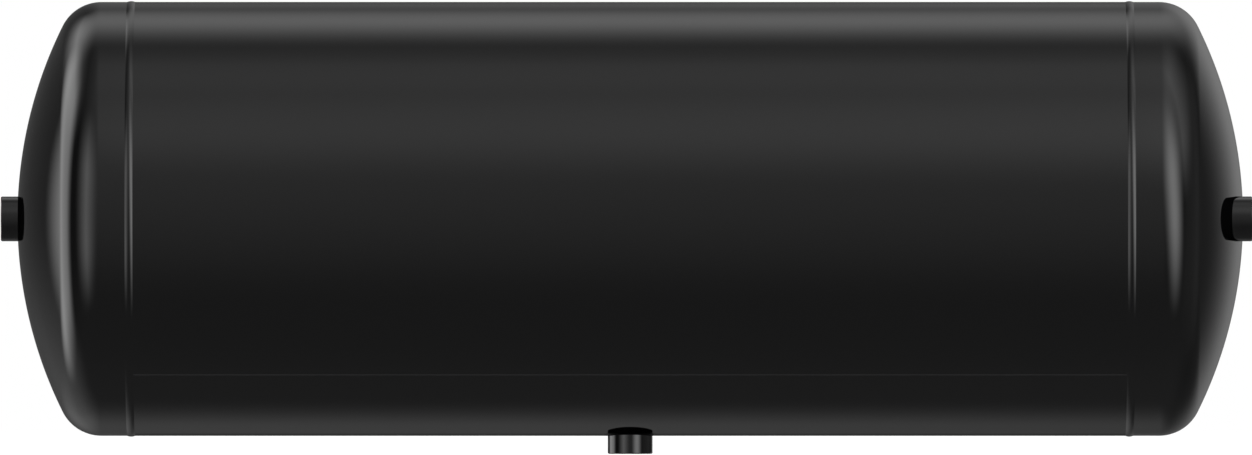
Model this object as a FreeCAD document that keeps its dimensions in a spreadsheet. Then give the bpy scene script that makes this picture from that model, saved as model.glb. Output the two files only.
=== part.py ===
"""Air receiver tank: a horizontal welded steel pressure vessel for compressed air.

A rolled barrel is closed along one straight seam, and a dished head is welded on at
each end.  Three tapped bosses pass through the wall: one in the middle of the left
head, one off centre in the right head and a drain at the lowest line of the barrel.

Millimetres.  The origin is on the tank's axis, midway between the tips of the two
heads.  +X runs along the axis to the right head, +Z is up, and the off-centre boss
and the straight seam are on the -Y side.
"""
import FreeCAD, Part
import os
import Sketcher
from FreeCAD import Vector

doc = FreeCAD.newDocument("air_receiver_tank")

# ---------------------------------------------------------------- driving dimensions

SIZES = [
    # barrel
    ("tank_diameter", 310, "outside diameter of the barrel and of both heads"),
    ("barrel_length", 713, "from the middle of one girth weld to the middle of the other"),
    ("shell_wall", 3, "thickness of the rolled plate"),
    # heads, dished as a large crown radius that runs into a small knuckle radius
    ("head_wall", 3, "thickness of the pressed plate"),
    ("crown_radius", 310, "outside radius of the dish"),
    ("knuckle_radius", 31, "outside radius of the corner between dish and skirt"),
    ("skirt_length", 21.25, "straight flange, from the middle of the girth weld to the knuckle"),
    ("lip_length", 10, "stepped-in lip that slides under the barrel's end"),
    ("lip_clearance", 0.1, "between the lip and the barrel's bore"),
    # girth welds
    ("groove_width", 5.7, "width of the girth weld at the surface"),
    ("root_gap", 1, "width of the girth weld at its root"),
    ("girth_crown", 0.6, "height of the girth weld over the plate"),
    # straight seam
    ("seam_width", 1.4, "width of the straight seam, measured on the surface"),
    ("seam_crown", 0.4, "height of the straight seam over the plate"),
    ("seam_angle", 45.8, "degrees below the horizontal, on the -Y side"),
    # bosses, tapped for a pipe fitting with a fine M22 x 1.5 thread
    ("boss_diameter", 32, "outside diameter of the round bar"),
    ("boss_length", 24, "from end to end"),
    ("boss_chamfer", 0.7, "on the outer edge of the sealing face"),
    ("tap_bore", 20.5, "bore that the thread is cut in"),
    ("lead_in", 1.25, "countersink at the mouth of the thread"),
    ("boss_clearance", 0.1, "between a boss and the hole it sits in"),
    ("fillet_leg", 4, "leg of the weld around a boss, inside the tank"),
    # where the bosses are
    ("left_boss_reach", 11.8, "sealing face beyond the tip of the left head"),
    ("right_boss_reach", 5.7, "sealing face beyond the tip of the right head"),
    ("right_boss_offset", 58, "from the tank's axis towards -Y"),
    ("drain_boss_reach", 12.85, "sealing face below the lowest line of the barrel"),
]

# ---------------------------------------------------------------- sizes that follow

LAYOUT = [
    ("outer", "sizes.tank_diameter / 2", "outside radius of the tank"),
    ("bore", "outer - sizes.shell_wall", "inside radius of the barrel"),
    ("girth", "sizes.barrel_length / 2", "middle of a girth weld"),
    ("half_groove", "sizes.groove_width / 2", ""),
    ("half_root", "sizes.root_gap / 2", ""),
    ("seam_turn", "sizes.seam_width / outer * 180 / pi", "degrees that the straight seam takes up"),
    # step of the head's lip: it goes down by step over a length of run
    ("lip", "bore - sizes.lip_clearance", "outside radius of the lip"),
    ("step", "outer - lip", ""),
    ("run", "half_groove - half_root", ""),
    ("slant_wall", "sizes.head_wall * sqrt(step ^ 2 + run ^ 2) / step", "wall of the step, along X"),
    ("skirt_bore", "outer - sizes.head_wall", "inside radius of the skirt"),
    ("step_top", "girth + half_root + slant_wall + (step - sizes.head_wall) * run / step", ""),
    ("step_foot", "girth + half_root + slant_wall - sizes.head_wall * run / step", ""),
    # dish
    ("tangent", "girth + sizes.skirt_length", "where the skirt meets the knuckle"),
    ("knuckle_ring", "outer - sizes.knuckle_radius", "radius of the circle of knuckle centres"),
    ("centres", "sizes.crown_radius - sizes.knuckle_radius", "crown centre to knuckle centre"),
    ("crown_centre", "tangent - sqrt(centres ^ 2 - knuckle_ring ^ 2)", ""),
    ("tip", "crown_centre + sizes.crown_radius", "tip of the head"),
    ("inner_crown", "sizes.crown_radius - sizes.head_wall", "inside radius of the dish"),
    ("lean", "knuckle_ring / centres", "sine of the angle that the crown takes up"),
    ("upright", "sqrt(1 - lean ^ 2)", "and its cosine"),
    # bosses
    ("boss_radius", "sizes.boss_diameter / 2", ""),
    ("tap_radius", "sizes.tap_bore / 2", ""),
    ("hole_diameter", "sizes.boss_diameter + 2 * sizes.boss_clearance", ""),
    ("left_face", "tip + sizes.left_boss_reach", "from the middle of the tank"),
    ("right_face", "tip + sizes.right_boss_reach", "from the middle of the tank"),
    ("drain_face", "outer + sizes.drain_boss_reach", "below the axis"),
]


def make_sheet(name, rows, mark=""):
    """Write rows of (alias, contents, note) into a sheet and give each its alias."""
    sheet = doc.addObject("Spreadsheet::Sheet", name)
    for line, (alias, contents, note) in enumerate(rows, start=1):
        sheet.set(f"A{line}", alias)
        sheet.set(f"B{line}", f"{mark}{contents}")
        sheet.set(f"C{line}", note)
        sheet.setAlias(f"B{line}", alias)
    doc.recompute()
    return sheet


sizes = make_sheet("sizes", SIZES)
layout = make_sheet("layout", LAYOUT, "=")


# ---------------------------------------------------------------- ways of making

def new_body(label):
    """An empty PartDesign body that will be one piece of the tank."""
    body = doc.addObject("PartDesign::Body", label)
    body.Label = label
    return body


def new_sketch(body, name, plane, turn=None):
    """A sketch on one of the body's own planes, turned about its own X axis if asked."""
    support = next(item for item in body.Origin.OriginFeatures if item.Role == plane)
    sketch = body.newObject("Sketcher::SketchObject", name)
    sketch.AttachmentSupport = [(support, "")]
    sketch.MapMode = "FlatFace"
    if turn:
        sketch.AttachmentOffset = FreeCAD.Placement(Vector(), FreeCAD.Rotation(Vector(1, 0, 0), 1))
        sketch.setExpression("AttachmentOffset.Rotation.Angle", turn)
    return sketch


def pin(sketch, edge, end, across, up):
    """Hold one end of an edge at a place given by two expressions."""
    for kind, axis, place in (("DistanceX", -2, across), ("DistanceY", -1, up)):
        if place == "0":
            sketch.addConstraint(Sketcher.Constraint("PointOnObject", edge, end, axis))
            continue
        value = float(sketch.evalExpression(place))
        index = sketch.addConstraint(Sketcher.Constraint(kind, -1, 1, edge, end, value))
        sketch.renameConstraint(index, f"{kind.lower()}_{edge + 1}")
        sketch.setExpression(f"Constraints.{kind.lower()}_{edge + 1}", place)


def outline(sketch, corners, bends=None):
    """Draw a closed outline through corners, each a pair of expressions.

    bends maps the number of a corner to (radius, side) where the edge that leaves it
    is an arc: side is 1 where the arc's centre is to the left of the way along the
    outline and -1 where it is to the right.
    """
    bends = bends or {}
    places = [Vector(*(float(sketch.evalExpression(value)) for value in corner), 0) for corner in corners]
    ends = []
    for edge, start in enumerate(places):
        finish = places[(edge + 1) % len(places)]
        if edge not in bends:
            sketch.addGeometry(Part.LineSegment(start, finish))
            ends.append((1, 2))
            continue
        radius, side = bends[edge]
        value = float(sketch.evalExpression(radius))
        chord = finish - start
        rise = (value ** 2 - chord.Length ** 2 / 4) ** 0.5
        centre = (start + finish) / 2 + Vector(-chord.y, chord.x, 0).normalize() * rise * side
        first, last = (start, finish) if side > 0 else (finish, start)
        reach = [Vector(1, 0, 0).getAngle(end - centre) * (1 if end.y >= centre.y else -1) for end in (first, last)]
        sketch.addGeometry(Part.ArcOfCircle(Part.Circle(centre, Vector(0, 0, 1), value), *reach))
        ends.append((1, 2) if side > 0 else (2, 1))
    for edge, corner in enumerate(corners):
        following = (edge + 1) % len(corners)
        sketch.addConstraint(Sketcher.Constraint("Coincident", edge, ends[edge][1], following, ends[following][0]))
    for edge, corner in enumerate(corners):
        pin(sketch, edge, ends[edge][0], *corner)
    for edge, (radius, side) in bends.items():
        value = float(sketch.evalExpression(radius))
        index = sketch.addConstraint(Sketcher.Constraint("Radius", edge, value))
        sketch.renameConstraint(index, f"radius_{edge + 1}")
        sketch.setExpression(f"Constraints.radius_{edge + 1}", radius)


def revolve(body, sketch, axis="H_Axis", turn="360"):
    """Turn a sketch about one of its own axes, half the turn to each side of it."""
    feature = body.newObject("PartDesign::Revolution", f"{body.Label}_revolution")
    feature.Profile = (sketch, [""])
    feature.ReferenceAxis = (sketch, [axis])
    feature.Midplane = True
    feature.setExpression("Angle", turn)
    sketch.Visibility = False
    return feature


def drill(body, plane, across, up, diameter, positive):
    """Cut a round hole through one side of the body, along its plane's normal.

    positive says whether the hole goes the way the normal points.
    """
    before = body.Shape.Volume
    sketch = new_sketch(body, f"{body.Label}_hole_sketch", plane)
    radius = float(sketch.evalExpression(diameter)) / 2
    sketch.addGeometry(Part.Circle(Vector(), Vector(0, 0, 1), radius))
    pin(sketch, 0, 3, across, up)
    index = sketch.addConstraint(Sketcher.Constraint("Diameter", 0, 2 * radius))
    sketch.renameConstraint(index, "hole")
    sketch.setExpression("Constraints.hole", diameter)
    feature = body.newObject("PartDesign::Pocket", f"{body.Label}_hole")
    feature.Profile = (sketch, [""])
    feature.Type = "ThroughAll"
    feature.Reversed = positive
    sketch.Visibility = False
    doc.recompute()
    if body.Shape.Volume >= before:
        raise RuntimeError(f"the hole in {body.Label} cuts nothing")


def place(piece, x="0", y="0", z="0", yaw="0", pitch="0", roll="0"):
    """Bind a piece's Placement to expressions for its position and its three angles."""
    piece.setExpression("Placement", f"placement(vector({x}; {y}; {z}); rotation({yaw}; {pitch}; {roll}))")


# ---------------------------------------------------------------- barrel

def make_shell():
    """Plate rolled to nearly a full circle, bevelled at both ends, holed for the drain.

    The part of the circle that the plate leaves open is what the straight seam fills.
    """
    body = new_body("shell")
    sketch = new_sketch(body, "shell_sketch", "XZ_Plane", "270 + sizes.seam_angle")
    top, foot = "(layout.girth - layout.half_groove)", "(layout.girth - layout.half_root)"
    outline(sketch, [(f"-{foot}", "layout.bore"), (foot, "layout.bore"),
                     (top, "layout.outer"), (f"-{top}", "layout.outer")])
    revolve(body, sketch, turn="360 - layout.seam_turn")
    doc.recompute()
    drill(body, "XY_Plane", "0", "0", "layout.hole_diameter", positive=False)
    return body


def make_seam_weld():
    """The straight seam: it fills the slit in the barrel and stands a little proud."""
    body = new_body("seam_weld")
    sketch = new_sketch(body, "seam_weld_sketch", "XZ_Plane", "90 + sizes.seam_angle")
    top, foot = "(layout.girth - layout.half_groove)", "(layout.girth - layout.half_root)"
    outline(sketch, [(f"-{foot}", "layout.bore"), (foot, "layout.bore"),
                     (top, "layout.outer"), (top, "layout.outer + sizes.seam_crown"),
                     (f"-{top}", "layout.outer + sizes.seam_crown"), (f"-{top}", "layout.outer")])
    revolve(body, sketch, turn="layout.seam_turn")
    return body


# ---------------------------------------------------------------- heads and girth welds

SIDES = {"left": ("180", "0"), "right": ("0", "-sizes.right_boss_offset")}


def make_head(side):
    """A dished head, pressed from plate, with its lip stepped in to fit the barrel.

    It is drawn on the +X side, and the left one is turned half round about Z.
    """
    turn, boss_place = SIDES[side]
    body = new_body(f"{side}_head")
    sketch = new_sketch(body, f"{side}_head_sketch", "XZ_Plane")
    lip_end = "layout.girth - sizes.lip_length"
    lip_bore = "layout.lip - sizes.head_wall"
    crown_edge = "layout.crown_centre + sizes.crown_radius * layout.upright"
    inner_edge = "layout.crown_centre + layout.inner_crown * layout.upright"
    outline(sketch, [
        ("layout.crown_centre + layout.inner_crown", "0"),
        ("layout.tip", "0"),
        (crown_edge, "sizes.crown_radius * layout.lean"),
        ("layout.tangent", "layout.outer"),
        ("layout.girth + layout.half_groove", "layout.outer"),
        ("layout.girth + layout.half_root", "layout.lip"),
        (lip_end, "layout.lip"),
        (lip_end, lip_bore),
        ("layout.step_foot", lip_bore),
        ("layout.step_top", "layout.skirt_bore"),
        ("layout.tangent", "layout.skirt_bore"),
        (inner_edge, "layout.inner_crown * layout.lean"),
    ], {
        1: ("sizes.crown_radius", 1),
        2: ("sizes.knuckle_radius", 1),
        10: ("sizes.knuckle_radius - sizes.head_wall", -1),
        11: ("layout.inner_crown", -1),
    })
    revolve(body, sketch)
    doc.recompute()
    drill(body, "YZ_Plane", boss_place, "0", "layout.hole_diameter", positive=True)
    place(body, yaw=turn)
    return body


def make_girth_weld(side):
    """A ring of weld in the groove between the barrel's end and the head's step."""
    body = new_body(f"{side}_girth_weld")
    sketch = new_sketch(body, f"{side}_girth_weld_sketch", "XZ_Plane")
    outline(sketch, [
        ("layout.girth - layout.half_root", "layout.lip"),
        ("layout.girth + layout.half_root", "layout.lip"),
        ("layout.girth + layout.half_groove", "layout.outer"),
        ("layout.girth - layout.half_groove", "layout.outer"),
        ("layout.girth - layout.half_root", "layout.bore"),
    ], {
        2: ("(layout.half_groove ^ 2 + sizes.girth_crown ^ 2) / (2 * sizes.girth_crown)", 1),
    })
    revolve(body, sketch)
    place(body, yaw=SIDES[side][0])
    return body


# ---------------------------------------------------------------- bosses and their welds

def make_boss(name):
    """A round bar, turned, bored and chamfered, with its sealing face at its own origin."""
    body = new_body(f"{name}_boss")
    sketch = new_sketch(body, f"{name}_boss_sketch", "XZ_Plane")
    outline(sketch, [
        ("layout.tap_radius", "-sizes.boss_length"),
        ("layout.boss_radius", "-sizes.boss_length"),
        ("layout.boss_radius", "-sizes.boss_chamfer"),
        ("layout.boss_radius - sizes.boss_chamfer", "0"),
        ("layout.tap_radius + sizes.lead_in", "0"),
        ("layout.tap_radius", "-sizes.lead_in"),
    ])
    revolve(body, sketch, axis="V_Axis")
    return body


def make_boss_weld(name, wall, cone_place, bar_place):
    """The fillet around a boss on the inside of the tank.

    A cone that narrows away from the wall, kept only where it is inside the wall's
    own inner surface, less the bar that the boss is turned from.
    """
    cone = doc.addObject("Part::Cone", f"{name}_fillet")
    cone.setExpression("Radius1", "layout.boss_radius + 2 * sizes.fillet_leg")
    cone.setExpression("Radius2", "layout.boss_radius")
    cone.setExpression("Height", "2 * sizes.fillet_leg")
    place(cone, **cone_place)
    bar = doc.addObject("Part::Cylinder", f"{name}_bar")
    bar.setExpression("Radius", "layout.boss_radius")
    bar.setExpression("Height", "2 * sizes.boss_length")
    place(bar, **bar_place)
    inside = doc.addObject("Part::Common", f"{name}_inside")
    inside.Base, inside.Tool = cone, wall
    weld = doc.addObject("Part::Cut", f"{name}_boss_weld")
    weld.Base, weld.Tool = inside, bar
    weld.Label = f"{name}_boss_weld"
    return weld


def make_end_boss(side):
    """The boss in one head, and its weld, whose cone stands square to the dish."""
    turn, boss_place = SIDES[side]
    offset = boss_place.lstrip("-")
    outward = "-1" if side == "left" else "1"
    boss = make_boss(side)
    place(boss, x=f"{outward} * layout.{side}_face", y=boss_place, yaw=turn, pitch="90")

    dish = doc.addObject("Part::Sphere", f"{side}_dish")
    dish.setExpression("Radius", "layout.inner_crown")
    place(dish, x="layout.crown_centre")
    tilt = f"asin({offset} / layout.inner_crown)"
    reach = "(layout.inner_crown + sizes.fillet_leg)"
    cone_place = {"x": f"layout.crown_centre + {reach} * cos({tilt})",
                  "y": f"-{reach} * sin({tilt})", "yaw": f"-{tilt}", "pitch": "-90"}
    bar_place = {"x": f"layout.{side}_face", "y": boss_place, "pitch": "-90"}
    weld = make_boss_weld(side, dish, cone_place, bar_place)
    place(weld, yaw=turn)
    return [boss, weld]


def make_drain_boss():
    """The boss at the lowest line of the barrel, and its weld."""
    boss = make_boss("drain")
    place(boss, z="-layout.drain_face", roll="180")
    inner = doc.addObject("Part::Cylinder", "drain_barrel")
    inner.setExpression("Radius", "layout.bore")
    inner.setExpression("Height", "sizes.barrel_length")
    place(inner, x="-layout.girth", pitch="90")
    weld = make_boss_weld("drain", inner, {"z": "-layout.bore - sizes.fillet_leg"},
                          {"z": "-layout.drain_face"})
    return [boss, weld]


pieces = [make_shell(), make_seam_weld()]
for side in SIDES:
    pieces += [make_head(side), make_girth_weld(side), *make_end_boss(side)]
pieces += make_drain_boss()
doc.recompute()

# ---------------------------------------------------------------- checks and files

for item in doc.Objects:
    if {"Invalid", "Error"} & set(item.State):
        raise RuntimeError(f"{item.Label} did not recompute: {item.State}")
for piece in pieces:
    if piece.Shape.isNull() or not piece.Shape.isValid() or len(piece.Shape.Solids) != 1:
        raise RuntimeError(f"{piece.Label} is not one valid solid")

os.makedirs("parts", exist_ok=True)
for piece in pieces:
    piece.Shape.exportStep(f"parts/{piece.Label}.step")
    box = piece.Shape.BoundBox
    print(f"{piece.Label:18s} volume {piece.Shape.Volume:10.1f}  "
          f"x {box.XMin:8.2f} {box.XMax:8.2f}  y {box.YMin:8.2f} {box.YMax:8.2f}  z {box.ZMin:8.2f} {box.ZMax:8.2f}")
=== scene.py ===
import math

import bpy
import numpy as np
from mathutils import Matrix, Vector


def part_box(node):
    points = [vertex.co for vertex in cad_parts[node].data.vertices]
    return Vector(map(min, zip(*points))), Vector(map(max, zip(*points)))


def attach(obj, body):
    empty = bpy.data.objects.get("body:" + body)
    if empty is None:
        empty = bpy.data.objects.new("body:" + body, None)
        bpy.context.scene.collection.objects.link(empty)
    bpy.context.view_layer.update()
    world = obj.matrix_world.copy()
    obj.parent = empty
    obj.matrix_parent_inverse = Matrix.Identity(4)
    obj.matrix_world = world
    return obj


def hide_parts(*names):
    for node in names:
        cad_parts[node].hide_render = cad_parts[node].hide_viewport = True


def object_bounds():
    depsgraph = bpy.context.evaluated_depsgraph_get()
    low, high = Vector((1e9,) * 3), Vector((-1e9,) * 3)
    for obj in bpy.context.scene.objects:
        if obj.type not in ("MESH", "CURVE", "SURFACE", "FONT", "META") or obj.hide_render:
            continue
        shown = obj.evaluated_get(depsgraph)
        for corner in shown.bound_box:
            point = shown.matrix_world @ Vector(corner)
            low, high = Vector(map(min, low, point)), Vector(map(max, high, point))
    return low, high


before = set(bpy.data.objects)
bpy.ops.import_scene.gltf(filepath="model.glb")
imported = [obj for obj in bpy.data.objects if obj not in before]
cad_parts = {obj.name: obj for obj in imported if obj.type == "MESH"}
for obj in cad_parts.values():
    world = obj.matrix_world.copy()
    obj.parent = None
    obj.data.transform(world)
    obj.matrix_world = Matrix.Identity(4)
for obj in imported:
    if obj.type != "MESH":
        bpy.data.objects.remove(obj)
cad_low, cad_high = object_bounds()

# ---------------------------------------------------------------- the barrel
# Steel plate, 3 mm thick, rolled to a cylinder that a straight seam closes. Both ends are bevelled
# for the girth welds, and a hole is cut in the lowest line for the drain boss.

BODY = "root"
MM = 0.001


def grid_faces(rows, columns, closed=False):
    """Quads of a grid of points stored row by row. A closed grid's last column meets its first."""
    row, column = np.mgrid[0:rows - 1, 0:columns if closed else columns - 1]
    following = (column + 1) % columns
    corners = (row * columns + column, row * columns + following,
               (row + 1) * columns + following, (row + 1) * columns + column)
    return np.stack(corners, axis=-1).reshape(-1, 4)


def close_plate(outside, inside, faces):
    """A closed solid from one sheet of quads placed twice, on a plate's outside and its inside.

    The inside has the same quads turned over. Each edge that belongs to one quad only is part of
    the sheet's rim, and gets a quad that joins the two sides.
    """
    count = len(outside)
    edges = np.concatenate([faces[:, [side, (side + 1) % 4]] for side in range(4)])
    keys = edges[:, 0] * count + edges[:, 1]
    rim = edges[~np.isin(edges[:, 1] * count + edges[:, 0], keys)]
    walls = np.stack([rim[:, 1], rim[:, 0], rim[:, 0] + count, rim[:, 1] + count], axis=-1)
    return np.concatenate([outside, inside]), np.concatenate([faces, faces[:, ::-1] + count, walls])


def add_piece(name, points, faces, material, replaced, corner=35.0, attributes=None):
    """A mesh piece from arrays of points and quads, smooth but for corners over that many degrees."""
    mesh = bpy.data.meshes.new(name)
    mesh.vertices.add(len(points))
    mesh.vertices.foreach_set("co", points.astype(np.float32).ravel())
    mesh.loops.add(faces.size)
    mesh.loops.foreach_set("vertex_index", faces.astype(np.int32).ravel())
    mesh.polygons.add(len(faces))
    mesh.polygons.foreach_set("loop_start", np.arange(0, faces.size, faces.shape[1], dtype=np.int32))
    mesh.update(calc_edges=True)
    mesh.validate()
    for key, values in (attributes or {}).items():
        mesh.attributes.new(key, "FLOAT", "POINT").data.foreach_set("value", values.astype(np.float32))
    mesh.shade_smooth()
    mesh.set_sharp_from_angle(angle=math.radians(corner))
    mesh.materials.append(material)
    piece = bpy.data.objects.new(name, mesh)
    bpy.context.scene.collection.objects.link(piece)
    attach(piece, BODY)
    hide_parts(*replaced)
    return piece


def on_cylinder(x, turn, radius):
    """Points at x along the axis, turned from the lowest line towards -Y, at a radius."""
    return np.stack([x + 0 * turn, -radius * np.sin(turn) + 0 * x, -radius * np.cos(turn) + 0 * x], axis=-1)


def new_material(name):
    """A material with no nodes yet, and its node tree."""
    material = bpy.data.materials.new(name)
    material.use_nodes = True
    tree = material.node_tree
    tree.nodes.clear()
    return material, tree


def add_node(tree, kind, inputs=None, **settings):
    """Add a node to a tree. An input is either a value or the output socket of another node."""
    node = tree.nodes.new(kind)
    for key, value in settings.items():
        setattr(node, key, value)
    for key, value in (inputs or {}).items():
        if isinstance(value, bpy.types.NodeSocket):
            tree.links.new(value, node.inputs[key])
        else:
            node.inputs[key].default_value = value
    return node


def new_group(name, inputs, outputs):
    """A shader node group whose inputs are (name, kind, value) and whose outputs are (name, kind)."""
    group = bpy.data.node_groups.new(name, "ShaderNodeTree")
    for key, kind, value in inputs:
        socket = group.interface.new_socket(name=key, in_out="INPUT", socket_type="NodeSocket" + kind)
        socket.default_value = value
    for key, kind in outputs:
        group.interface.new_socket(name=key, in_out="OUTPUT", socket_type="NodeSocket" + kind)
    return group, group.nodes.new("NodeGroupInput"), group.nodes.new("NodeGroupOutput")


def make_orange_peel():
    """Group: the low, soft ripple that sprayed enamel dries to, as a normal."""
    group, given, out = new_group(
        "orange_peel", [("Width", "Float", 0.004), ("Depth", "Float", 0.00001)], [("Normal", "Vector")])
    place = add_node(group, "ShaderNodeTexCoord").outputs["Object"]
    scale = add_node(group, "ShaderNodeMath", {0: 1.0, 1: given.outputs["Width"]}, operation="DIVIDE")
    peel = add_node(group, "ShaderNodeTexNoise", {"Vector": place, "Scale": scale.outputs[0], "Detail": 1.0})
    bump = add_node(group, "ShaderNodeBump", {"Height": peel.outputs[0], "Distance": given.outputs["Depth"]})
    group.links.new(bump.outputs[0], out.inputs["Normal"])
    return group


def make_paint_film():
    """Group: how a coat of gloss enamel varies, as a colour and a roughness.

    Wide patches are a little duller than the rest, and a thin scatter of settled dust lies on
    what faces up.
    """
    group, given, out = new_group("paint_film", [
        ("Colour", "Color", (0.0012, 0.0012, 0.0013, 1)), ("Dust colour", "Color", (0.08, 0.078, 0.074, 1)),
        ("Gloss", "Float", 0.03), ("Dull patches", "Float", 0.03), ("Dust", "Float", 0.02),
    ], [("Colour", "Color"), ("Roughness", "Float")])
    place = add_node(group, "ShaderNodeTexCoord").outputs["Object"]
    per_metre, specks_per_metre = 14.0, 900.0
    patches = add_node(group, "ShaderNodeTexNoise", {"Vector": place, "Scale": per_metre, "Detail": 3.0})
    dull = add_node(group, "ShaderNodeMapRange", {
        "Value": patches.outputs[0], "From Min": 0.35, "From Max": 0.75,
        "To Min": 0.0, "To Max": given.outputs["Dull patches"]})
    specks = add_node(group, "ShaderNodeTexNoise", {
        "Vector": place, "Scale": specks_per_metre, "Detail": 2.0})
    scatter = add_node(group, "ShaderNodeMapRange", {
        "Value": specks.outputs[0], "From Min": 0.55, "From Max": 0.8})
    normal = add_node(group, "ShaderNodeNewGeometry").outputs["Normal"]
    facing = add_node(group, "ShaderNodeSeparateXYZ", {0: normal})
    upward = add_node(group, "ShaderNodeMapRange", {
        "Value": facing.outputs["Z"], "From Min": 0.2, "From Max": 1.0})
    settled = add_node(group, "ShaderNodeMath", {
        0: scatter.outputs[0], 1: upward.outputs[0]}, operation="MULTIPLY")
    dust = add_node(group, "ShaderNodeMath", {
        0: settled.outputs[0], 1: given.outputs["Dust"]}, operation="MULTIPLY")
    colour = add_node(group, "ShaderNodeMix", {
        0: dust.outputs[0], 6: given.outputs["Colour"], 7: given.outputs["Dust colour"]}, data_type="RGBA")
    rough = add_node(group, "ShaderNodeMath", {
        0: given.outputs["Gloss"], 1: dull.outputs[0]}, operation="ADD")
    rougher = add_node(group, "ShaderNodeMath", {
        0: rough.outputs[0], 1: dust.outputs[0]}, operation="ADD")
    group.links.new(colour.outputs[2], out.inputs["Colour"])
    group.links.new(rougher.outputs[0], out.inputs["Roughness"])
    return group


orange_peel = make_orange_peel()
paint_film = make_paint_film()


def place_group(tree, group, **inputs):
    """Put a node group into a material, with its own values."""
    return add_node(tree, "ShaderNodeGroup", {key.replace("_", " "): value for key, value in inputs.items()},
                    node_tree=group)


def make_enamel(name, peel_width, peel_depth, gloss, dull_patches, tone=0.0012, skim=0.0):
    """Gloss black enamel over steel. Skim is how much duller it is where the eye skims along it."""
    material, tree = new_material(name)
    film = place_group(tree, paint_film, Colour=(tone, tone, tone * 1.05, 1), Gloss=gloss,
                       Dull_patches=dull_patches)
    peel = place_group(tree, orange_peel, Width=peel_width, Depth=peel_depth)
    edge_on = add_node(tree, "ShaderNodeLayerWeight", {"Blend": 0.5})
    duller = add_node(tree, "ShaderNodeMapRange", {
        "Value": edge_on.outputs["Facing"], "From Min": 0.8, "From Max": 0.93, "To Max": skim})
    rough = add_node(tree, "ShaderNodeMath", {
        0: film.outputs["Roughness"], 1: duller.outputs[0]}, operation="ADD")
    shader = add_node(tree, "ShaderNodeBsdfPrincipled", {
        "Base Color": film.outputs["Colour"], "Roughness": rough.outputs[0],
        "Normal": peel.outputs["Normal"], "IOR": 1.5})
    out = add_node(tree, "ShaderNodeOutputMaterial")
    tree.links.new(shader.outputs[0], out.inputs["Surface"])
    return material


barrel_enamel = make_enamel("barrel_enamel", 3.5 * MM, 0.0016 * MM, 0.02, 0.02, skim=0.6)

shell_low, shell_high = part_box("shell")
tank_radius = round(-shell_low.z, 4)
plate_wall = 3 * MM
girth_low, girth_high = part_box("right_girth_weld")
barrel_end = girth_low.x
barrel_foot = shell_high.x
boss_low, boss_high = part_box("drain_boss")
boss_radius = (boss_high.x - boss_low.x) / 2
boss_clearance = 0.1 * MM
hole_radius = boss_radius + boss_clearance
seam_low, seam_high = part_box("seam_weld")
seam_width = 1.4 * MM
seam_turn = math.atan2(-(seam_low.y + seam_high.y), -(seam_low.z + seam_high.z))
half_slit = seam_width / tank_radius / 2


def make_barrel():
    """A flat sheet of (distance along the axis, turn from the lowest line), rolled at two radii.

    The sheet is a plain grid but for a square round the drain hole. There the grid's rings go from
    the square's edge to the hole's rim, each point sliding along a straight line between the two.
    """
    cells, rings, crowding = 16, 9, 1.3
    rows, columns_behind, columns_in_front = 13, 240, 30
    square = 30 * MM
    turn_square = square / tank_radius
    across = np.linspace(-square, square, cells + 1)
    along = np.unique(np.concatenate([np.linspace(-barrel_end, -square, rows), across,
                                      np.linspace(square, barrel_end, rows)]).round(9))
    around = np.unique(np.concatenate([
        np.linspace(seam_turn + half_slit - 2 * math.pi, -turn_square, columns_behind),
        across / tank_radius,
        np.linspace(turn_square, seam_turn - half_slit, columns_in_front)]).round(9))
    x, turn = np.meshgrid(along, around, indexing="ij")
    faces = grid_faces(*x.shape)
    middle = np.stack([x.ravel(), turn.ravel()], axis=-1)[faces].mean(axis=1)
    faces = faces[(abs(middle[:, 0]) > square) | (abs(middle[:, 1]) > turn_square)]
    flat = np.stack([x.ravel(), turn.ravel()], axis=-1)

    side = np.linspace(-1, 1, cells + 1)[:-1]
    one = np.ones(cells)
    edge = np.concatenate([np.stack(pair, axis=-1) for pair in
                           ((side, -one), (one, side), (-side, one), (-one, -side))])
    edge = edge * (square, turn_square)
    heading = np.arctan2(edge[:, 1] * tank_radius, edge[:, 0])
    share = (np.linspace(0, 1, rings) ** crowding)[:, None]
    surfaces = []
    for radius, end in ((tank_radius, barrel_end), (tank_radius - plate_wall, barrel_foot)):
        rim = np.stack([hole_radius * np.cos(heading),
                        np.arcsin(hole_radius * np.sin(heading) / radius)], axis=-1)
        patch = rim * (1 - share[..., None]) + edge * share[..., None]
        sheet = np.concatenate([flat, patch.reshape(-1, 2)])
        at_end = np.isclose(abs(sheet[:, 0]), barrel_end)
        sheet[:, 0] = np.where(at_end, np.sign(sheet[:, 0]) * end, sheet[:, 0])
        surfaces.append(on_cylinder(sheet[:, 0], sheet[:, 1], radius))
    faces = np.concatenate([faces, grid_faces(rings, 4 * cells, closed=True) + len(flat)])[:, ::-1]
    first, same = np.unique(surfaces[0].round(7), axis=0, return_index=True, return_inverse=True)[1:]
    used, faces = np.unique(same.ravel()[faces], return_inverse=True)
    outside, inside = (surface[first][used] for surface in surfaces)
    points, faces = close_plate(outside, inside, faces.reshape(-1, 4))
    return add_piece("barrel_plate", points, faces, barrel_enamel, ["shell"])


make_barrel()

# ---------------------------------------------------------------- the straight seam
# One run of weld that fills the slit in the barrel and stands a little proud, painted over with the
# rest. Its surface has the faint crescents that the pool leaves as it sets, and its coat is thinner
# and less black.

seam_enamel = make_enamel("seam_enamel", 1.2 * MM, 0.002 * MM, 0.06, 0.03, tone=0.008)


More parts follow.
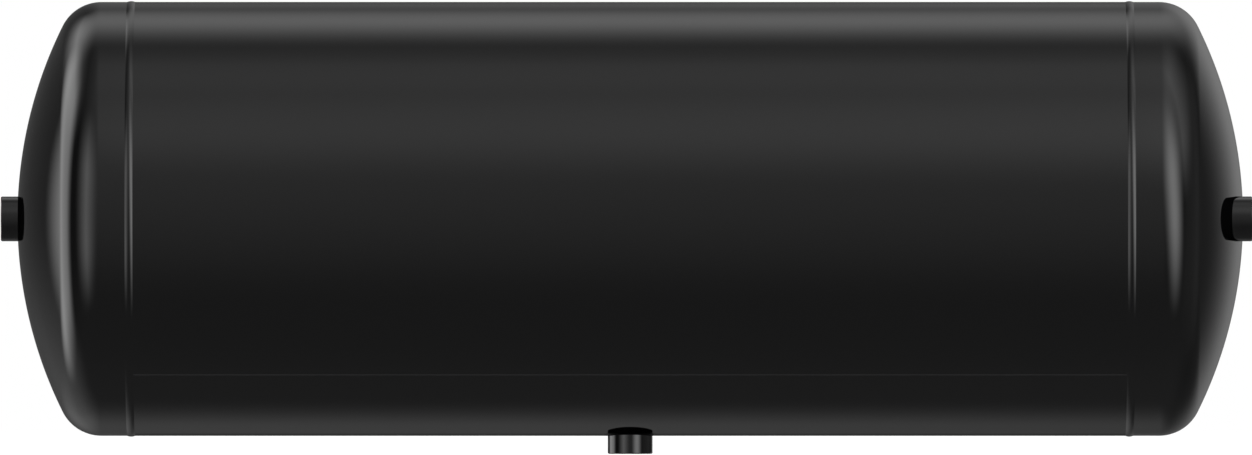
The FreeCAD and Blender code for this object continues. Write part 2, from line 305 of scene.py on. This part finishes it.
def close_sweep(loops, ring=False):
    """Quads of a closed outline carried along a path, one outline to a row of points.

    A ring's last outline meets its first. Otherwise each end is closed by quads that pair the
    outline's two halves.
    """
    rows, count = loops.shape[:2]
    faces = grid_faces(rows, count, closed=True)
    if ring:
        wrap = grid_faces(2, count, closed=True)
        faces = np.concatenate([faces, np.where(wrap < count, wrap + (rows - 1) * count, wrap - count)])
    else:
        near = np.arange(count // 2 - 1)
        cap = np.stack([near, near + 1, count - 2 - near, count - 1 - near], axis=-1)
        faces = np.concatenate([faces, cap[:, ::-1], cap + (rows - 1) * count])
    return loops.reshape(-1, 3), faces


def ripple(distance, across, pitch, height):
    """Height of a bead's crescents: a wave along the bead that lags towards the bead's two edges."""
    return height * np.cos(2 * math.pi * (distance / pitch - 0.8 * across ** 2)) * (1 - across ** 2)


def make_seam():
    """The slit's section, with a top that is an arc of a circle, carried along the axis."""
    crown, pitch, height = 0.4 * MM, 1.1 * MM, 0.006 * MM
    points_across, rows = 13, 3200
    across = np.sin(np.linspace(-math.pi / 2, math.pi / 2, points_across))
    reach = np.linspace(-1, 1, rows)[:, None]
    half = seam_width / 2
    bend = (half ** 2 + crown ** 2) / (2 * crown)
    arc = np.sqrt(bend ** 2 - (across * half) ** 2) - bend + crown
    top = tank_radius + arc + ripple(reach * barrel_end, across, pitch, height)
    foot = np.full_like(top, tank_radius - plate_wall)
    radius = np.concatenate([top, foot], axis=1)
    turn = seam_turn + half_slit * np.concatenate([across, across[::-1]])
    end = np.repeat([barrel_end, barrel_foot], points_across)
    loops = on_cylinder(reach * end, np.broadcast_to(turn, radius.shape), radius)
    points, faces = close_sweep(loops)
    return add_piece("seam_bead", points, faces[:, ::-1], seam_enamel, ["seam_weld"])


make_seam()

# ---------------------------------------------------------------- the heads
# Two dished ends, pressed from 3 mm plate: a large crown, a small knuckle, a straight skirt, and a lip
# stepped in to slide under the barrel. Each has a hole for its boss, one on the axis and one off it.

plate_enamel = make_enamel("plate_enamel", 3.5 * MM, 0.0016 * MM, 0.02, 0.02)

crown_radius = 2 * tank_radius
knuckle_radius = tank_radius / 5
skirt = 21.25 * MM
groove = girth_high.x - girth_low.x
girth = (girth_low.x + girth_high.x) / 2
root_gap = 2 * (girth - barrel_foot)
lip_clearance = 0.1 * MM
lip_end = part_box("right_head")[0].x


def make_head(side):
    """The dish's rings start at the rim of the boss's hole and open out into rings about the axis.

    Each ring is a circle whose centre moves from the boss to the axis as its radius grows. A point
    of the crown lies on a sphere, one of the knuckle on a ring of small circles, and skirt, step
    and lip follow at set places.
    """
    out = 1 if side == "right" else -1
    low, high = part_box(f"{side}_boss")
    offset = (low.y + high.y) / 2
    tangent = girth + skirt
    ring = tank_radius - knuckle_radius
    spread = crown_radius - knuckle_radius
    centre = tangent - math.sqrt(spread ** 2 - ring ** 2)
    lean = math.asin(ring / spread)
    columns, crown_rings, knuckle_rings, straightening = 288, 72, 40, 1.5
    turn = np.linspace(0, 2 * math.pi, columns, endpoint=False)
    lip = tank_radius - plate_wall - lip_clearance
    step, run = tank_radius - lip, (groove - root_gap) / 2
    slant = plate_wall * math.hypot(step, run) / step
    surfaces = []
    for wall in (0, plate_wall):
        share = np.linspace(0, 1, crown_rings)[:, None]
        edge = (crown_radius - wall) * math.sin(lean)
        radius = hole_radius + (edge - hole_radius) * share
        y = offset * (1 - share) ** straightening + radius * np.sin(turn)
        z = radius * np.cos(turn)
        x = centre + np.sqrt((crown_radius - wall) ** 2 - y ** 2 - z ** 2)
        angle = np.linspace(lean, math.pi / 2, knuckle_rings)[1:, None]
        small = knuckle_radius - wall
        if wall:
            places = [(girth + root_gap / 2 + slant + (step - wall) * run / step, tank_radius - wall),
                      (girth + root_gap / 2 + slant - wall * run / step, lip - wall), (lip_end, lip - wall)]
        else:
            places = [(girth + groove / 2, tank_radius), (girth + root_gap / 2, lip), (lip_end, lip)]
        rest_x = np.concatenate([tangent + small * np.cos(angle), np.array(places)[:, :1]])
        rest_radius = np.concatenate([ring + small * np.sin(angle), np.array(places)[:, 1:]])
        x = np.concatenate([x, np.broadcast_to(rest_x, (len(rest_x), len(turn)))])
        y = np.concatenate([y, rest_radius * np.sin(turn)])
        z = np.concatenate([z, rest_radius * np.cos(turn)])
        surfaces.append(np.stack([out * x, y, z], axis=-1).reshape(-1, 3))
    faces = grid_faces(len(x), len(turn), closed=True)[:, ::out]
    points, faces = close_plate(*surfaces, faces)
    return add_piece(f"{side}_dished_head", points, faces, plate_enamel, [f"{side}_head"])


for side in ("left", "right"):
    make_head(side)

# ---------------------------------------------------------------- the girth welds
# A ring of weld at each end of the barrel, in the groove between its bevel and the head's step. Laid
# in one turn by machine, it stands 0.6 mm proud and has even, shallow crescents.

bead_enamel = make_enamel("bead_enamel", 1.2 * MM, 0.002 * MM, 0.04, 0.03)


def make_girth_weld(side):
    """The groove's section, with a domed top, carried round the axis."""
    out = 1 if side == "right" else -1
    crown = girth_high.z - tank_radius
    waves, rows_to_a_wave, height = 420, 5, 0.008 * MM
    lip = tank_radius - plate_wall - lip_clearance
    across = np.linspace(-1, 1, 13)
    turn = np.linspace(0, 2 * math.pi, waves * rows_to_a_wave, endpoint=False)[:, None]
    crescents = ripple(turn * waves / (2 * math.pi), across, 1.0, height)
    top = tank_radius + crown * (1 - across ** 2) + crescents
    root = np.array([root_gap, -root_gap, -root_gap]) / 2
    root_radius = np.array([lip, lip, lip + lip_clearance])
    x = np.concatenate([across * groove / 2, root])
    radius = np.concatenate([top, np.broadcast_to(root_radius, (len(turn), 3))], axis=1)
    loops = on_cylinder(out * (girth + np.broadcast_to(x, radius.shape)), turn, radius)
    points, faces = close_sweep(loops, ring=True)
    return add_piece(f"{side}_girth_bead", points, faces[:, ::out], bead_enamel,
                     [f"{side}_girth_weld"])


for side in ("left", "right"):
    make_girth_weld(side)

# ---------------------------------------------------------------- the bosses
# Three lengths of round bar, turned, chamfered, bored and tapped M22 x 1.5, set through the wall and
# welded inside. Threads and seat were masked while the tank was painted, so they are bare steel.

mask_radius = 14.2 * MM


def make_boss_material():
    """Black enamel outside, and bare turned steel inside a wavering line round the seat."""
    material, tree = new_material("boss_enamel_and_steel")
    film = place_group(tree, paint_film, Gloss=0.03, Dull_patches=0.03)
    peel = place_group(tree, orange_peel, Width=1.5 * MM, Depth=0.0012 * MM)
    place = add_node(tree, "ShaderNodeTexCoord").outputs["Object"]
    from_axis = add_node(tree, "ShaderNodeAttribute", attribute_name="from_axis").outputs["Fac"]
    waver = add_node(tree, "ShaderNodeTexNoise", {"Vector": place, "Scale": 500.0, "Detail": 3.0})
    wander, soft_edge = 1.2 * MM, 0.1 * MM
    masked = add_node(tree, "ShaderNodeMath", {
        0: waver.outputs[0], 1: wander, 2: from_axis}, operation="MULTIPLY_ADD")
    bare = add_node(tree, "ShaderNodeMapRange", {
        "Value": masked.outputs[0], "From Min": mask_radius + soft_edge, "From Max": mask_radius - soft_edge})
    tone = add_node(tree, "ShaderNodeTexNoise", {"Vector": place, "Scale": 260.0, "Detail": 4.0})
    steel = add_node(tree, "ShaderNodeMix", {
        0: tone.outputs[0], 6: (0.20, 0.195, 0.19, 1), 7: (0.42, 0.415, 0.41, 1)}, data_type="RGBA")
    feed = 0.12 * MM
    turned = add_node(tree, "ShaderNodeMath", {0: from_axis, 1: 2 * math.pi / feed}, operation="MULTIPLY")
    lines = add_node(tree, "ShaderNodeMath", {0: turned.outputs[0]}, operation="SINE")
    ridges = add_node(tree, "ShaderNodeMath", {0: lines.outputs[0], 1: bare.outputs[0]}, operation="MULTIPLY")
    bump = add_node(tree, "ShaderNodeBump", {
        "Height": ridges.outputs[0], "Distance": 0.002 * MM, "Normal": peel.outputs["Normal"]})
    colour = add_node(tree, "ShaderNodeMix", {
        0: bare.outputs[0], 6: film.outputs["Colour"], 7: steel.outputs[2]}, data_type="RGBA")
    rough = add_node(tree, "ShaderNodeMix", {
        "Factor": bare.outputs[0], "A": film.outputs["Roughness"], "B": 0.28})
    shader = add_node(tree, "ShaderNodeBsdfPrincipled", {
        "Base Color": colour.outputs[2], "Roughness": rough.outputs["Result"],
        "Metallic": bare.outputs[0], "Normal": bump.outputs[0], "IOR": 1.5})
    out = add_node(tree, "ShaderNodeOutputMaterial")
    tree.links.new(shader.outputs[0], out.inputs["Surface"])
    return material


boss_material = make_boss_material()


def make_boss(name, facing):
    """An outline of (radius, depth below the seat), turned round the boss's axis.

    The bore's radius is that of the countersink or of the thread, whichever is more. The thread is
    a flat-topped wave of the depth less a share of a turn, so it winds to the right.
    """
    low, high = (np.array(corner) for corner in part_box(f"{name}_boss"))
    facing = np.array(facing, float)
    length = abs((high - low) @ facing)
    seat = (low + high) / 2 + facing * length / 2
    chamfer, lead_in = 0.7 * MM, 1.25 * MM
    minor, major, pitch = 10.25 * MM, 11 * MM, 1.5 * MM
    turn = np.linspace(0, 2 * math.pi, 128, endpoint=False)[:, None]
    soft = 0.12 * MM
    outer = boss_radius
    rim = np.array([(outer, length), (outer, length / 2), (outer, chamfer + 3 * soft),
                    (outer, chamfer + soft), (outer - soft / 4, chamfer - soft / 2),
                    (outer - chamfer + soft / 2, soft / 4), (outer - chamfer - soft, 0),
                    (outer - chamfer - 3 * soft, 0), (mask_radius, 0), (mask_radius - 1 * MM, 0),
                    (minor + lead_in + soft, 0)])
    depth = np.linspace(0, length, 12 * round(length / pitch) + 1)
    wave = abs((depth / pitch + turn / (2 * math.pi)) % 1 - 0.5) * 2
    root_flat, crest_flat = 1 / 8, 1 / 4
    thread = np.interp(wave, (root_flat, 1 - crest_flat), (major, minor))
    bore = np.maximum(thread, minor + lead_in - depth)
    radius = np.concatenate([np.broadcast_to(rim[:, 0], (len(turn), len(rim))), bore], axis=1)
    depth = np.broadcast_to(np.concatenate([rim[:, 1], depth]), radius.shape)
    side = np.array([facing[2], facing[0], facing[1]])
    up = np.cross(facing, side)
    loops = (seat - depth[..., None] * facing
             + radius[..., None] * (np.cos(turn)[..., None] * side + np.sin(turn)[..., None] * up))
    points, faces = close_sweep(loops, ring=True)
    return add_piece(f"{name}_tapped_boss", points, faces[:, ::-1], boss_material,
                     [f"{name}_boss"], corner=25.0, attributes={"from_axis": radius.ravel()})


for name, facing in (("left", (-1, 0, 0)), ("right", (1, 0, 0)), ("drain", (0, 0, -1))):
    make_boss(name, facing)

# ---------------------------------------------------------------- the welds round the bosses
# A fillet of weld round each boss inside the tank, left bare: dull grey, with the faint blue and
# straw tints of heated steel.


def make_weld_steel():
    """Bare weld metal."""
    material, tree = new_material("bare_weld_steel")
    place = add_node(tree, "ShaderNodeTexCoord").outputs["Object"]
    heat = add_node(tree, "ShaderNodeTexNoise", {"Vector": place, "Scale": 120.0, "Detail": 3.0})
    tint = add_node(tree, "ShaderNodeValToRGB", {0: heat.outputs[0]})
    tint.color_ramp.elements[0].color = (0.10, 0.11, 0.14, 1)
    tint.color_ramp.elements[1].color = (0.30, 0.26, 0.20, 1)
    crescents = add_node(tree, "ShaderNodeTexNoise", {"Vector": place, "Scale": 700.0, "Detail": 2.0})
    bump = add_node(tree, "ShaderNodeBump", {"Height": crescents.outputs[0], "Distance": 0.1 * MM})
    shader = add_node(tree, "ShaderNodeBsdfPrincipled", {
        "Base Color": tint.outputs[0], "Metallic": 1.0, "Roughness": 0.45, "Normal": bump.outputs[0]})
    out = add_node(tree, "ShaderNodeOutputMaterial")
    tree.links.new(shader.outputs[0], out.inputs["Surface"])
    return material


weld_steel = make_weld_steel()
for name in ("left_boss_weld", "right_boss_weld", "drain_boss_weld"):
    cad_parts[name].data.materials.clear()
    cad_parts[name].data.materials.append(weld_steel)

# ---------------------------------------------------------------- the studio
# A pale floor a little below the drain boss, soft light from all round, and softboxes that only
# gloss shows: a wide one to the left, two tall ones in front, and a broad one overhead. Most of
# their values came from a numerical fit, then rounding and a scripted search, not from design.

SOFTBOXES = [
    # bearing from the front, height, half width, half height, side fade, end fade, strength, tilt
    (-108, 6, 20, 38, 11, 16, 2.5, 0),     # wide, to the left
    (-120, 42, 27, 7, 14, 24, 1.9, 0),     # its head, leaning in
    (-34, 5, 12, 35, 22, 20, 2.0, 0),      # tall, front left
    (33, 12, 15, 36, 15, 28, 3.4, 11),     # tall, front right
    (0, 45, 26, 48, 26, 45, 0.45, 0),      # a wash from the front
    (68, 52, 14, 33, 24, 15, 1.1, 0),      # overhead, to the right
    (190, 53, 22, 12, 20, 12, 0.7, 0),     # overhead, behind
    (159, 25, 15, 28, 15, 44, 0.5, 0),     # behind, to the right
    (90, 8, 28, 40, 14, 25, 0.14, 0),      # a pale wall to the right
    (-137, -36, 32, 22, 13, 16, 0.32, 0),  # the floor, behind to the left
    (0, -55, 55, 60, 30, 30, 0.11, 0),     # the floor, in front
]
ROOM_GLOSS = 0.08
ROOM_LIGHT = 1.25


def make_softbox():
    """Group: a rectangle of light far away, as a strength for each direction.

    How far a direction leans from the box's middle is measured along its width and its height, and
    the light fades over a soft edge on each side of both.
    """
    group, given, out = new_group("softbox", [
        ("Direction", "Vector", (0, 0, 0)), ("Middle", "Vector", (0, -1, 0)),
        ("Across", "Vector", (1, 0, 0)), ("Up", "Vector", (0, 0, 1)),
        ("Half width", "Float", 10), ("Half height", "Float", 10),
        ("Side fade", "Float", 5), ("End fade", "Float", 5), ("Strength", "Float", 1)], [("Light", "Float")])

    def dot(key):
        node = add_node(group, "ShaderNodeVectorMath", {
            0: given.outputs["Direction"], 1: given.outputs[key]}, operation="DOT_PRODUCT")
        return node.outputs["Value"]

    ahead = dot("Middle")
    light = add_node(group, "ShaderNodeMath", {0: ahead, 1: 0.0}, operation="GREATER_THAN").outputs[0]
    for axis, half, fading in (("Across", "Half width", "Side fade"), ("Up", "Half height", "End fade")):
        size = add_node(group, "ShaderNodeMath", {0: dot(axis)}, operation="ABSOLUTE")
        lean = add_node(group, "ShaderNodeMath", {0: size.outputs[0], 1: ahead}, operation="ARCTAN2")
        degrees = add_node(group, "ShaderNodeMath", {0: lean.outputs[0]}, operation="DEGREES")
        inner = add_node(group, "ShaderNodeMath", {
            0: given.outputs[half], 1: given.outputs[fading]}, operation="SUBTRACT")
        outer = add_node(group, "ShaderNodeMath", {
            0: given.outputs[half], 1: given.outputs[fading]}, operation="ADD")
        fade = add_node(group, "ShaderNodeMapRange", {
            "Value": degrees.outputs[0], "From Min": outer.outputs[0], "From Max": inner.outputs[0]},
            interpolation_type="SMOOTHSTEP")
        light = add_node(group, "ShaderNodeMath", {
            0: light, 1: fade.outputs[0]}, operation="MULTIPLY").outputs[0]
    strong = add_node(group, "ShaderNodeMath", {
        0: light, 1: given.outputs["Strength"]}, operation="MULTIPLY")
    group.links.new(strong.outputs[0], out.inputs["Light"])
    return group


def make_world():
    """White to the eye, soft and even as light, and the softboxes in a dim room as reflections.

    A reflection seen in a second one is black, as in a room with dark walls.
    """
    world = bpy.data.worlds.new("studio")
    bpy.context.scene.world = world
    world.use_nodes = True
    tree = world.node_tree
    tree.nodes.clear()
    direction = add_node(tree, "ShaderNodeTexCoord").outputs["Generated"]
    softbox = make_softbox()
    gloss = None
    for bearing, height, half_width, half_height, side_fade, end_fade, strength, tilt in SOFTBOXES:
        a, e, t = np.radians([bearing, height, tilt])
        middle = np.array([math.sin(a) * math.cos(e), -math.cos(a) * math.cos(e), math.sin(e)])
        level = np.array([math.cos(a), math.sin(a), 0])
        above = np.cross(middle, level)
        box = add_node(tree, "ShaderNodeGroup", {
            "Direction": direction, "Middle": middle, "Across": level * math.cos(t) + above * math.sin(t),
            "Up": above * math.cos(t) - level * math.sin(t), "Half width": half_width,
            "Half height": half_height, "Side fade": side_fade, "End fade": end_fade, "Strength": strength},
            node_tree=softbox)
        gloss = add_node(tree, "ShaderNodeMath", {
            0: box.outputs["Light"], 1: gloss or ROOM_GLOSS}, operation="ADD").outputs[0]
    path = add_node(tree, "ShaderNodeLightPath")
    once = add_node(tree, "ShaderNodeMath", {
        0: path.outputs["Glossy Depth"], 1: 1.5}, operation="LESS_THAN")
    gloss = add_node(tree, "ShaderNodeMath", {
        0: gloss, 1: once.outputs[0]}, operation="MULTIPLY").outputs[0]
    reflected = add_node(tree, "ShaderNodeMix", {
        "Factor": path.outputs["Is Glossy Ray"], "A": ROOM_LIGHT, "B": gloss})
    seen = add_node(tree, "ShaderNodeMix", {
        "Factor": path.outputs["Is Camera Ray"], "A": reflected.outputs["Result"], "B": 1.0})
    background = add_node(tree, "ShaderNodeBackground", {
        "Color": (1, 1, 1, 1), "Strength": seen.outputs["Result"]})
    out = add_node(tree, "ShaderNodeOutputWorld")
    tree.links.new(background.outputs[0], out.inputs["Surface"])


make_world()


def make_floor():
    """A square of pale floor, which gloss doesn't show."""
    half, gap = 5.0, 12 * MM
    mesh = bpy.data.meshes.new("floor")
    z = cad_low.z - gap
    corners = [(-half, -half, z), (half, -half, z), (half, half, z), (-half, half, z)]
    mesh.from_pydata(corners, [], [(0, 1, 2, 3)])
    material, tree = new_material("floor_white")
    shader = add_node(tree, "ShaderNodeBsdfDiffuse", {"Color": (0.86, 0.86, 0.86, 1)})
    out = add_node(tree, "ShaderNodeOutputMaterial")
    tree.links.new(shader.outputs[0], out.inputs["Surface"])
    mesh.materials.append(material)
    floor = bpy.data.objects.new("floor", mesh)
    floor.visible_glossy = False
    bpy.context.scene.collection.objects.link(floor)


make_floor()

# ---------------------------------------------------------------- the camera
# A long lens far off, level with the tank and square to its side.


def make_camera():
    """Stand far enough back for the frame's height at the tank's axis.

    The sensor's height sets the view. A long lens and a low sensor keep lines that run round the
    tank nearly straight.
    """
    frame_height, middle_x, middle_z = 0.3251, -3.0 * MM, -6.15 * MM
    data = bpy.data.cameras.new("camera")
    data.sensor_fit = "VERTICAL"
    data.sensor_width, data.sensor_height, data.lens = 36, 7.4, 600
    data.clip_start, data.clip_end = 1, 60
    camera = bpy.data.objects.new("camera", data)
    camera.location = (middle_x, -frame_height * data.lens / data.sensor_height, middle_z)
    camera.rotation_euler = (math.pi / 2, 0, 0)
    bpy.context.scene.collection.objects.link(camera)
    bpy.context.scene.camera = camera


make_camera()
bpy.context.scene.view_settings.view_transform = "Standard"
